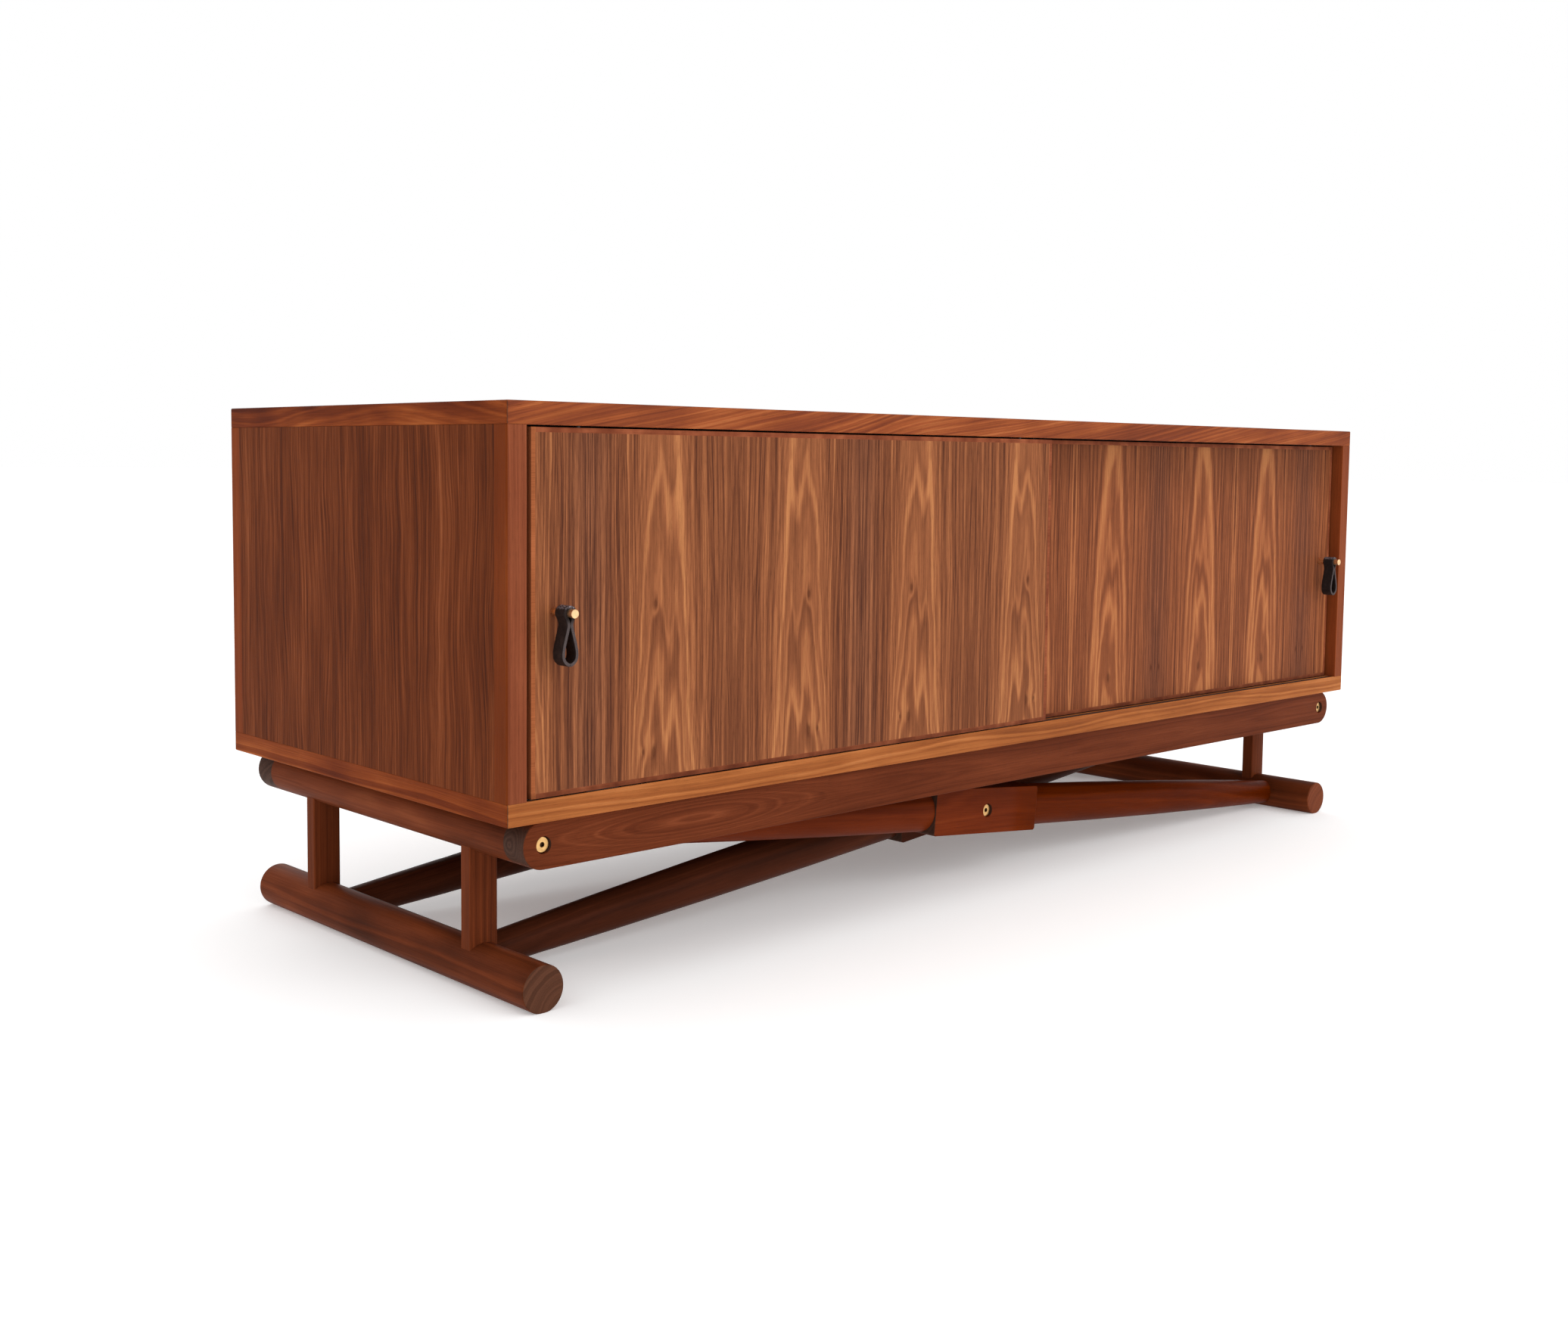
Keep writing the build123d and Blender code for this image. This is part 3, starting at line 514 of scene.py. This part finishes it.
# Each row: material, grain, where the pith line runs, ring spacing, seed, tones, wave, other settings, pieces.
SOLID_PIECES = (
    (
        "top_front_edge_walnut", "X", (-222.0, 1500.0), 5.0, 4.4, TOP_TONES, 30.0,
        {"slope": 10.0, "contrast": 0.8, "patchy": 0.9},
        ("top_front_lipping",),
    ),
    (
        "top_rear_edge_walnut", "X", (250.0, 1500.0), 5.0, 9.4, EDGE_TONES, 20.0,
        {"slope": -6.0, "contrast": 0.8, "patchy": 0.5},
        ("top_rear_lipping",),
    ),
    (
        "top_end_edge_walnut", "Y", (-745.0, 650.0), 7.0, 2.2, EDGE_TONES, 26.0,
        {"patchy": 1.6, "contrast": 0.7},
        ("top_end_lippings",),
    ),
    # painted highlight: the faces entry lightens this lipping's top face
    (
        "bottom_front_edge_walnut", "X", (-225.0, 260.0), 5.0, 6.6, BRIGHT_TONES, 16.0,
        {"patchy": 0.8, "contrast": 0.8, "faces": (("Z", 1.35, 1.0),)},
        ("bottom_front_lipping",),
    ),
    (
        "bottom_rear_edge_walnut", "X", (230.0, 250.0), 9.5, 3.6, EDGE_TONES, 9.0,
        {},
        ("bottom_rear_lipping",),
    ),
    (
        "bottom_end_edge_walnut", "Y", (-745.0, 262.0), 5.0, 5.2, EDGE_TONES, 9.0,
        {"patchy": 0.8, "contrast": 0.7},
        ("bottom_end_lippings",),
    ),
    # painted shade: the faces entry darkens this lipping's side faces
    (
        "left_side_edge_walnut", "Z", (-700.0, -260.0), 3.4, 1.3, RED_TONES, 5.0,
        {"faces": (("X", 0.78, 1.08),)},
        ("left_side_front_lipping",),
    ),
    # painted light: the faces entry lightens this lipping's side faces
    (
        "right_side_edge_walnut", "Z", (700.0, -260.0), 3.4, 6.3, RUST_TONES, 5.0,
        {"faces": (("X", 1.08, 1.04),)},
        ("right_side_front_lipping",),
    ),
    (
        "side_rear_edge_walnut", "Z", (-700.0, 260.0), 3.4, 8.1, EDGE_TONES, 5.0,
        {},
        ("left_side_rear_lipping", "right_side_rear_lipping"),
    ),
    (
        "front_beam_walnut", "X", (-238.0, 170.0), 3.2, 3.9, BEAM_TONES, 8.0,
        {"contrast": 0.75, "patchy": 0.45, "swell": (-550.0, 150.0, 21.0)},
        ("front_beam",),
    ),
    (
        "rear_beam_walnut", "X", (240.0, 112.0), 6.5, 7.7, BEAM_TONES, 30.0,
        {"contrast": 0.45, "patchy": 0.5},
        ("rear_beam",),
    ),
)
for material, grain, pith, spacing, seed, ramp_stops, wave, others, pieces in SOLID_PIECES:
    dress(solid_wood(material, grain, pith, spacing, seed, ramp_stops, wave, **others), *pieces)

RAILS = {  # the rail's axis in x and z, seed and the tone of its ends
    "left_upper_rail": (-750.0, 170.0, 2.9, RAIL_END_TONE),
    "right_upper_rail": (750.0, 170.0, 5.5, RAIL_END_TONE),
    "left_foot_rail": (-750.0, 24.0, 7.2, RAIL_END_TONE),
    "right_foot_rail": (750.0, 24.0, 4.1, (112, 58, 36)),
}
for rail, (rail_x, rail_z, seed, end_tone) in RAILS.items():
    pith = (rail_x + 30.0, rail_z - 34.0)
    dress(solid_wood(rail + "_walnut", "Y", pith, 5.4, seed, BASE_TONES, 9.0, end_tone=end_tone, patchy=0.9), rail)

POSTS = {  # the post's middle in x and y
    "left_front": (-750.0, -149.0),
    "left_rear": (-750.0, 181.0),
    "right_front": (750.0, -149.0),
    "right_rear": (750.0, 181.0),
}
for number, (corner, (post_x, post_y)) in enumerate(POSTS.items()):
    pith = (post_x + 40.0, post_y + 12.0)
    seed = 1.1 + number * 2.3
    dress(solid_wood(corner + "_post_walnut", "Z", pith, 4.2, seed, BASE_TONES, 6.0), corner + "_post")

BRACES = {  # y of the brace, slope of its arms, seed, tones, and where painted shade darkens it along the grain; the darker tones of the set-back braces are painted shade too
    "front_outer_brace": (-180.0, -5.56, 2.1, DARK_TONES, (30.0, 90.0, 0.76)),
    "front_inner_brace": (-120.0, 5.56, 4.7, SHADED_BRACE_TONES, None),
    "rear_outer_brace": (212.0, -5.56, 6.9, SHADED_BRACE_TONES, None),
    "rear_inner_brace": (152.0, 5.56, 8.8, SHADED_BRACE_TONES, None),
}
for brace, (brace_y, slope, seed, ramp_stops, darker) in BRACES.items():
    pith = (brace_y + 36.0, 120.0)
    look = {"slope": slope, "gloss": BRACE_GLOSS, "darker": darker}
    dress(solid_wood(brace + "_walnut", "X", pith, 6.0, seed, ramp_stops, 8.0, **look), brace)


def door_edge(name, panel, stops, pale):
    """Solid edge round a door: red walnut, with a paler strip down one side and painted shade darkening its foot next
    to the gap below the door.
    """
    s = Shade(name)
    x, y, z = s.place()
    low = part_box(panel)[0] * MM
    left_edge = s.step(x, low.x + 1.0, low.x + 0.5)
    fine = s.noise((x, 0.05), (y, 0.4), (z, 0.03), detail=3.0)
    colour = s.ramp(s.plus(0.5, s.centred(fine, 1.2)), stops)
    colour = s.blend(s.times(left_edge, 0.45), colour, srgb(*pale))
    # painted shade: darker at the foot, next to the gap below the door
    colour = s.value_of(colour, s.step(z, low.z - 4.0, low.z + 4.0, 0.7, 1.0))
    return wood_finish(s, colour, y, z, x, 2.0, DOOR_EDGE_GLOSS)


for door in ("left", "right"):
    edge = door_edge(door + "_door_edge_walnut", door + "_door_panel", RED_TONES, (176, 104, 62))
    dress(edge, door + "_door_lippings")


# ---------------------------------------------------------------- metal and plastic
# edge and colour of the painted shade in hex sockets
SOCKET_EDGE, SOCKET_SHADE_COLOUR = (2.5, 3.0), (58, 40, 26)
METAL_RELIEF, PLASTIC_RELIEF = 0.00002, 0.00003  # metres


def metal(name, colour, roughness, streaks, sockets=()):
    """Lightly stained metal with turning marks; sockets are (distance from the middle, height) of hex sockets whose
    hollows get painted shade.
    """
    s = Shade(name)
    x, y, z = s.place()
    turned = s.noise(*zip((x, y, z), streaks), detail=3.0)
    stain = s.noise((x, 0.25), (y, 0.25), (z, 0.25))
    shade = s.value_of(srgb(*colour), s.step(stain, 0.3, 0.7, 0.88, 1.08))
    # painted shade: the hollow of each hex socket is darkened
    for socket_x, socket_z in sockets:
        span = s.length(s.minus(s.math("ABSOLUTE", x), socket_x), s.minus(z, socket_z))
        shade = s.blend(s.step(span, *SOCKET_EDGE), srgb(*SOCKET_SHADE_COLOUR), shade)
    s.bump(turned, METAL_RELIEF, 0.4)
    return s.finish(shade, s.step(turned, 0.3, 0.7, roughness - 0.05, roughness + 0.08), 1.0)


def plastic(name, colour, roughness):
    s = Shade(name)
    x, y, z = s.place()
    grain = s.noise((x, 1.5), (y, 1.5), (z, 1.5), detail=3.0)
    s.bump(grain, PLASTIC_RELIEF, 0.5)
    shade = s.value_of(srgb(*colour), s.step(grain, 0.3, 0.7, 0.94, 1.05))
    return s.finish(shade, s.step(grain, 0.3, 0.7, roughness - 0.04, roughness + 0.06))


dress(metal("post_brass", (238, 196, 146), 0.32, (0.6, 6.0, 0.6)), "left_pull_post", "right_pull_post")
dress(
    metal("bolt_brass", (220, 176, 116), 0.3, (2.5, 2.5, 2.5), sockets=((750.0, 170.0), (0.0, 96.0))),
    "beam_bolts",
    "brace_bolts",
    "threaded_inserts",
)
steel = metal("zinc_steel", (176, 178, 182), 0.35, (2.0, 2.0, 2.0))
dress(steel, "case_screws", "shelf_pins", "left_pull_screw", "right_pull_screw")
nylon = plastic("nylon", (44, 30, 24), 0.45)
for door in ("left", "right"):
    dress(nylon, door + "_door_glides")
    for end in ("left", "right"):
        dress(nylon, f"{door}_door_{end}_guide_pin")
        dress(steel, f"{door}_door_{end}_guide_spring")
dress(plastic("track_brown", (58, 36, 26), 0.5), "top_tracks", "bottom_tracks")


# ---------------------------------------------------------------- leather loops
STRAP_THICK = 3.4
STRAP_HALF_WIDE = 7.95
STRAP_EASE = 0.55  # radius of the strap's corners
STRAP_BORE = 4.08
LOOP_HALF = 9.8
LOOP_DROP = 52.0
LOOP_CORNER = 7.2
LOOP_WIDEST = 12.0  # height above the bottom where the loop is widest
PINCH_DROP = 11.5
PINCH_GAP = 0.03
GRIP_ANGLE = math.radians(-35)
GRIP_POINTS = 16
SLACK = 0.10  # how far the strap's edges waver
LEATHER_SPECULAR = 0.2
LEATHER_RELIEF = 0.00016  # metres


def curve_between(a, a_way, b, b_way, count):
    """Points of a smooth curve from a to b, b left out; the ways are its direction and pull at each end."""
    points = []
    for i in range(count):
        t = i / count
        h1, h2 = 2 * t**3 - 3 * t**2 + 1, t**3 - 2 * t**2 + t
        h3, h4 = -2 * t**3 + 3 * t**2, t**3 - t**2
        points.append(tuple(h1 * a[k] + h2 * a_way[k] + h3 * b[k] + h4 * b_way[k] for k in (0, 1)))
    return points


def loop_centreline():
    """The strap's middle line in (across, up) millimetres from the post's axis, closed, starting at the top."""
    over = STRAP_BORE + STRAP_THICK / 2
    half = []
    for i in range(GRIP_POINTS):
        angle = math.pi / 2 + (GRIP_ANGLE - math.pi / 2) * i / GRIP_POINTS
        half.append((over * math.cos(angle), over * math.sin(angle)))
    leave = (over * math.cos(GRIP_ANGLE), over * math.sin(GRIP_ANGLE))
    pinch = (STRAP_THICK / 2 + PINCH_GAP, -PINCH_DROP)
    wide = (LOOP_HALF - STRAP_THICK / 2, -LOOP_DROP + LOOP_WIDEST)
    bottom = -LOOP_DROP + STRAP_THICK / 2
    turn_in = (wide[0] - 0.25, bottom + LOOP_CORNER)
    turned = (wide[0] - LOOP_CORNER, bottom)
    lowest = (0.0, bottom - 0.05)
    half += curve_between(leave, (-5.2, -7.4), pinch, (0.0, -6.0), 12)
    half += curve_between(pinch, (0.0, -12.0), wide, (0.4, -24.0), 30)
    half += curve_between(wide, (0.0, -6.8), turn_in, (-0.5, -6.8), 6)
    half += curve_between(turn_in, (-0.3, -8.4), turned, (-8.4, -0.2), 12)
    half += curve_between(turned, (-2.9, -0.1), lowest, (-2.9, 0.0), 5)
    left = [(-px, pz) for px, pz in reversed(half[1:])]
    return half + [lowest] + left


def strap_section():
    """The strap's cross-section in (out from the middle line, along the post), with eased corners."""
    flat_t, flat_w = STRAP_THICK / 2 - STRAP_EASE, STRAP_HALF_WIDE - STRAP_EASE
    corner_steps, rows = 5, 7
    points = []
    for corner_t, corner_w, start in ((1, 1, 0), (-1, 1, 90), (-1, -1, 180), (1, -1, 270)):
        for step in range(corner_steps):
            angle = math.radians(start + step * 90 / (corner_steps - 1))
            points.append(
                (corner_t * flat_t + STRAP_EASE * math.cos(angle), corner_w * flat_w + STRAP_EASE * math.sin(angle))
            )
        if start in (90, 270):
            side = 1 if start == 90 else -1
            points += [(-side * STRAP_THICK / 2, (1 - 2 * k / rows) * flat_w * side) for k in range(1, rows)]
    return points


def leather(name, centre):
    """Near-black bridle leather: fine pebble, creases where it folds over the post, dull greyish cut edges."""
    s = Shade(name)
    x, y, z = s.place()
    centre_z = centre.z * MM
    cells = s.add("ShaderNodeTexVoronoi", feature="DISTANCE_TO_EDGE")
    s.feed_all(cells, Vector=s.join((x, 1.6), (y, 1.6), (z, 1.6)), Scale=1.0)
    pebble = s.step(cells.outputs["Distance"], 0.0, 0.22)
    mottled = s.noise((x, 0.35), (y, 0.35), (z, 0.2), detail=3.0)
    crease = s.noise((x, 1.9), (y, 0.35), (z, 0.6))
    fuzz = s.noise((x, 2.2), (y, 0.8), (z, 2.2), detail=3.0)
    fold = s.step(z, centre_z + 3.0, centre_z + 6.5)
    edge = s.step(s.facing("Y"), 0.55, 0.9)
    hide = s.ramp(mottled, tone_stops((0.3, 20, 14, 13), (0.55, 29, 20, 18), (0.75, 42, 30, 27)))
    hide = s.blend(s.times(fold, s.step(crease, 0.48, 0.6)), hide, srgb(140, 128, 134))
    cut = s.ramp(fuzz, tone_stops((0.3, 58, 48, 48), (0.7, 86, 75, 74)))
    cut = s.blend(s.step(z, centre_z - 12.0, centre_z - 5.0), cut, hide)
    relief = s.plus(s.times(pebble, 0.5), s.times(s.times(fold, crease), 2.5), s.times(s.times(edge, fuzz), 1.2))
    s.bump(relief, LEATHER_RELIEF, 0.7)
    s.specular(LEATHER_SPECULAR)
    return s.finish(s.blend(edge, hide, cut), s.plus(0.5, s.times(edge, 0.28), s.times(fold, -0.12)))


def leather_loop(name, node, body, post):
    """A strap swept along the loop's middle line, in place of the plain CAD loop."""
    low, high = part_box(node)
    post_low, post_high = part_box(post)
    centre = Vector(((post_low.x + post_high.x) / 2, (low.y + high.y) / 2, (post_low.z + post_high.z) / 2))
    line = loop_centreline()
    section = strap_section()
    count, around = len(line), len(section)
    vertices, faces = [], []
    for i, (px, pz) in enumerate(line):
        before, after = line[i - 1], line[(i + 1) % count]
        way = Vector((after[0] - before[0], after[1] - before[1])).normalized()
        out_x, out_z = -way.y, way.x
        slack = SLACK * math.sin(0.9 * i) if pz < -PINCH_DROP else 0.0
        here, there = i * around, (i + 1) % count * around
        for k, (t, w) in enumerate(section):
            place = (px + out_x * t, w + slack, pz + out_z * t)
            vertices.append(tuple(c + v / MM for c, v in zip(centre, place)))
            after_k = (k + 1) % around
            faces.append((here + k, here + after_k, there + after_k, there + k))
    mesh = bpy.data.meshes.new(name)
    mesh.from_pydata(vertices, [], faces)
    mesh.validate()
    mesh.shade_smooth()
    piece = bpy.data.objects.new(name, mesh)
    bpy.context.scene.collection.objects.link(piece)
    piece.data.materials.append(leather(name + "_hide", centre))
    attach(piece, body)
    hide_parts(node)


leather_loop("left_leather_loop", "left_pull_loop", "left_pull", "left_pull_post")
leather_loop("right_leather_loop", "right_pull_loop", "right_pull", "right_pull_post")


# ---------------------------------------------------------------- floor, light and camera
FLOOR_HALF = 60.0
FLOOR_GLOW = 0.22  # keeps the shadow on the floor light
WHITE = (1.0, 1.0, 1.0, 1.0)
CAMERA_PLACE = Vector((-1.72218, -1.62472, 0.55279))
CAMERA_AZIMUTH, CAMERA_RISE, CAMERA_ROLL = -42.8201, 4.4415, 0.6055
SENSOR_WIDTH, FOCAL_LENGTH = 36.0, 39.059
SHIFT_X, SHIFT_Y = 0.01496, -0.04992
VIEW_DEPTH = 300.0


def area_light(name, place, aim, size, power):
    data = bpy.data.lights.new(name, "AREA")
    data.shape = "RECTANGLE"
    data.size, data.size_y = size
    data.energy = power
    light = bpy.data.objects.new(name, data)
    light.location = place
    light.rotation_euler = (Vector(aim) - Vector(place)).to_track_quat("-Z", "Y").to_euler()
    bpy.context.scene.collection.objects.link(light)


def camera_turn():
    """The camera's axes, from its azimuth, rise and roll in degrees."""
    turn, rise, roll = (math.radians(angle) for angle in (CAMERA_AZIMUTH, CAMERA_RISE, CAMERA_ROLL))
    back = Vector((math.sin(turn) * math.cos(rise), -math.cos(turn) * math.cos(rise), math.sin(rise)))
    right = Vector((0, 0, 1)).cross(back).normalized()
    up = back.cross(right)
    rolled_right = right * math.cos(roll) + up * math.sin(roll)
    rolled_up = up * math.cos(roll) - right * math.sin(roll)
    return Matrix((rolled_right, rolled_up, back)).transposed().to_4x4()


scene = bpy.context.scene
floor_mesh = bpy.data.meshes.new("floor")
corners = [(-FLOOR_HALF, -FLOOR_HALF), (FLOOR_HALF, -FLOOR_HALF), (FLOOR_HALF, FLOOR_HALF), (-FLOOR_HALF, FLOOR_HALF)]
floor_mesh.from_pydata([(x, y, cad_low.z) for x, y in corners], [], [(0, 1, 2, 3)])
floor = bpy.data.objects.new("floor", floor_mesh)
scene.collection.objects.link(floor)
paper = Shade("pale_floor")
paper.specular(0.1)
paper.finish((0.93, 0.93, 0.93, 1.0), 0.9)
paper.feed_all(paper.shader, Emission_Color=WHITE, Emission_Strength=FLOOR_GLOW)
floor_mesh.materials.append(paper.material)

world = bpy.data.worlds.new("studio")
world.use_nodes = True
background = world.node_tree.nodes["Background"]
background.inputs["Color"].default_value = WHITE
background.inputs["Strength"].default_value = 1.0
scene.world = world
area_light("key", (0.8, -4.2, 2.4), (0.0, 0.0, 0.35), (3.5, 2.4), 58.0)
area_light("left_fill", (-4.5, -1.0, 2.6), (0.0, 0.0, 0.3), (2.0, 1.6), 8.5)
area_light("rear_fill", (1.0, 4.0, 2.5), (0.0, 0.0, 0.3), (3.0, 2.0), 30.0)

scene.view_settings.view_transform = "Standard"
scene.view_settings.look = "None"
lens_data = bpy.data.cameras.new("camera")
camera = bpy.data.objects.new("camera", lens_data)
scene.collection.objects.link(camera)
scene.camera = camera
lens_data.sensor_width, lens_data.lens = SENSOR_WIDTH, FOCAL_LENGTH
lens_data.shift_x, lens_data.shift_y = SHIFT_X, SHIFT_Y
lens_data.clip_end = VIEW_DEPTH
camera.matrix_world = Matrix.Translation(CAMERA_PLACE) @ camera_turn()
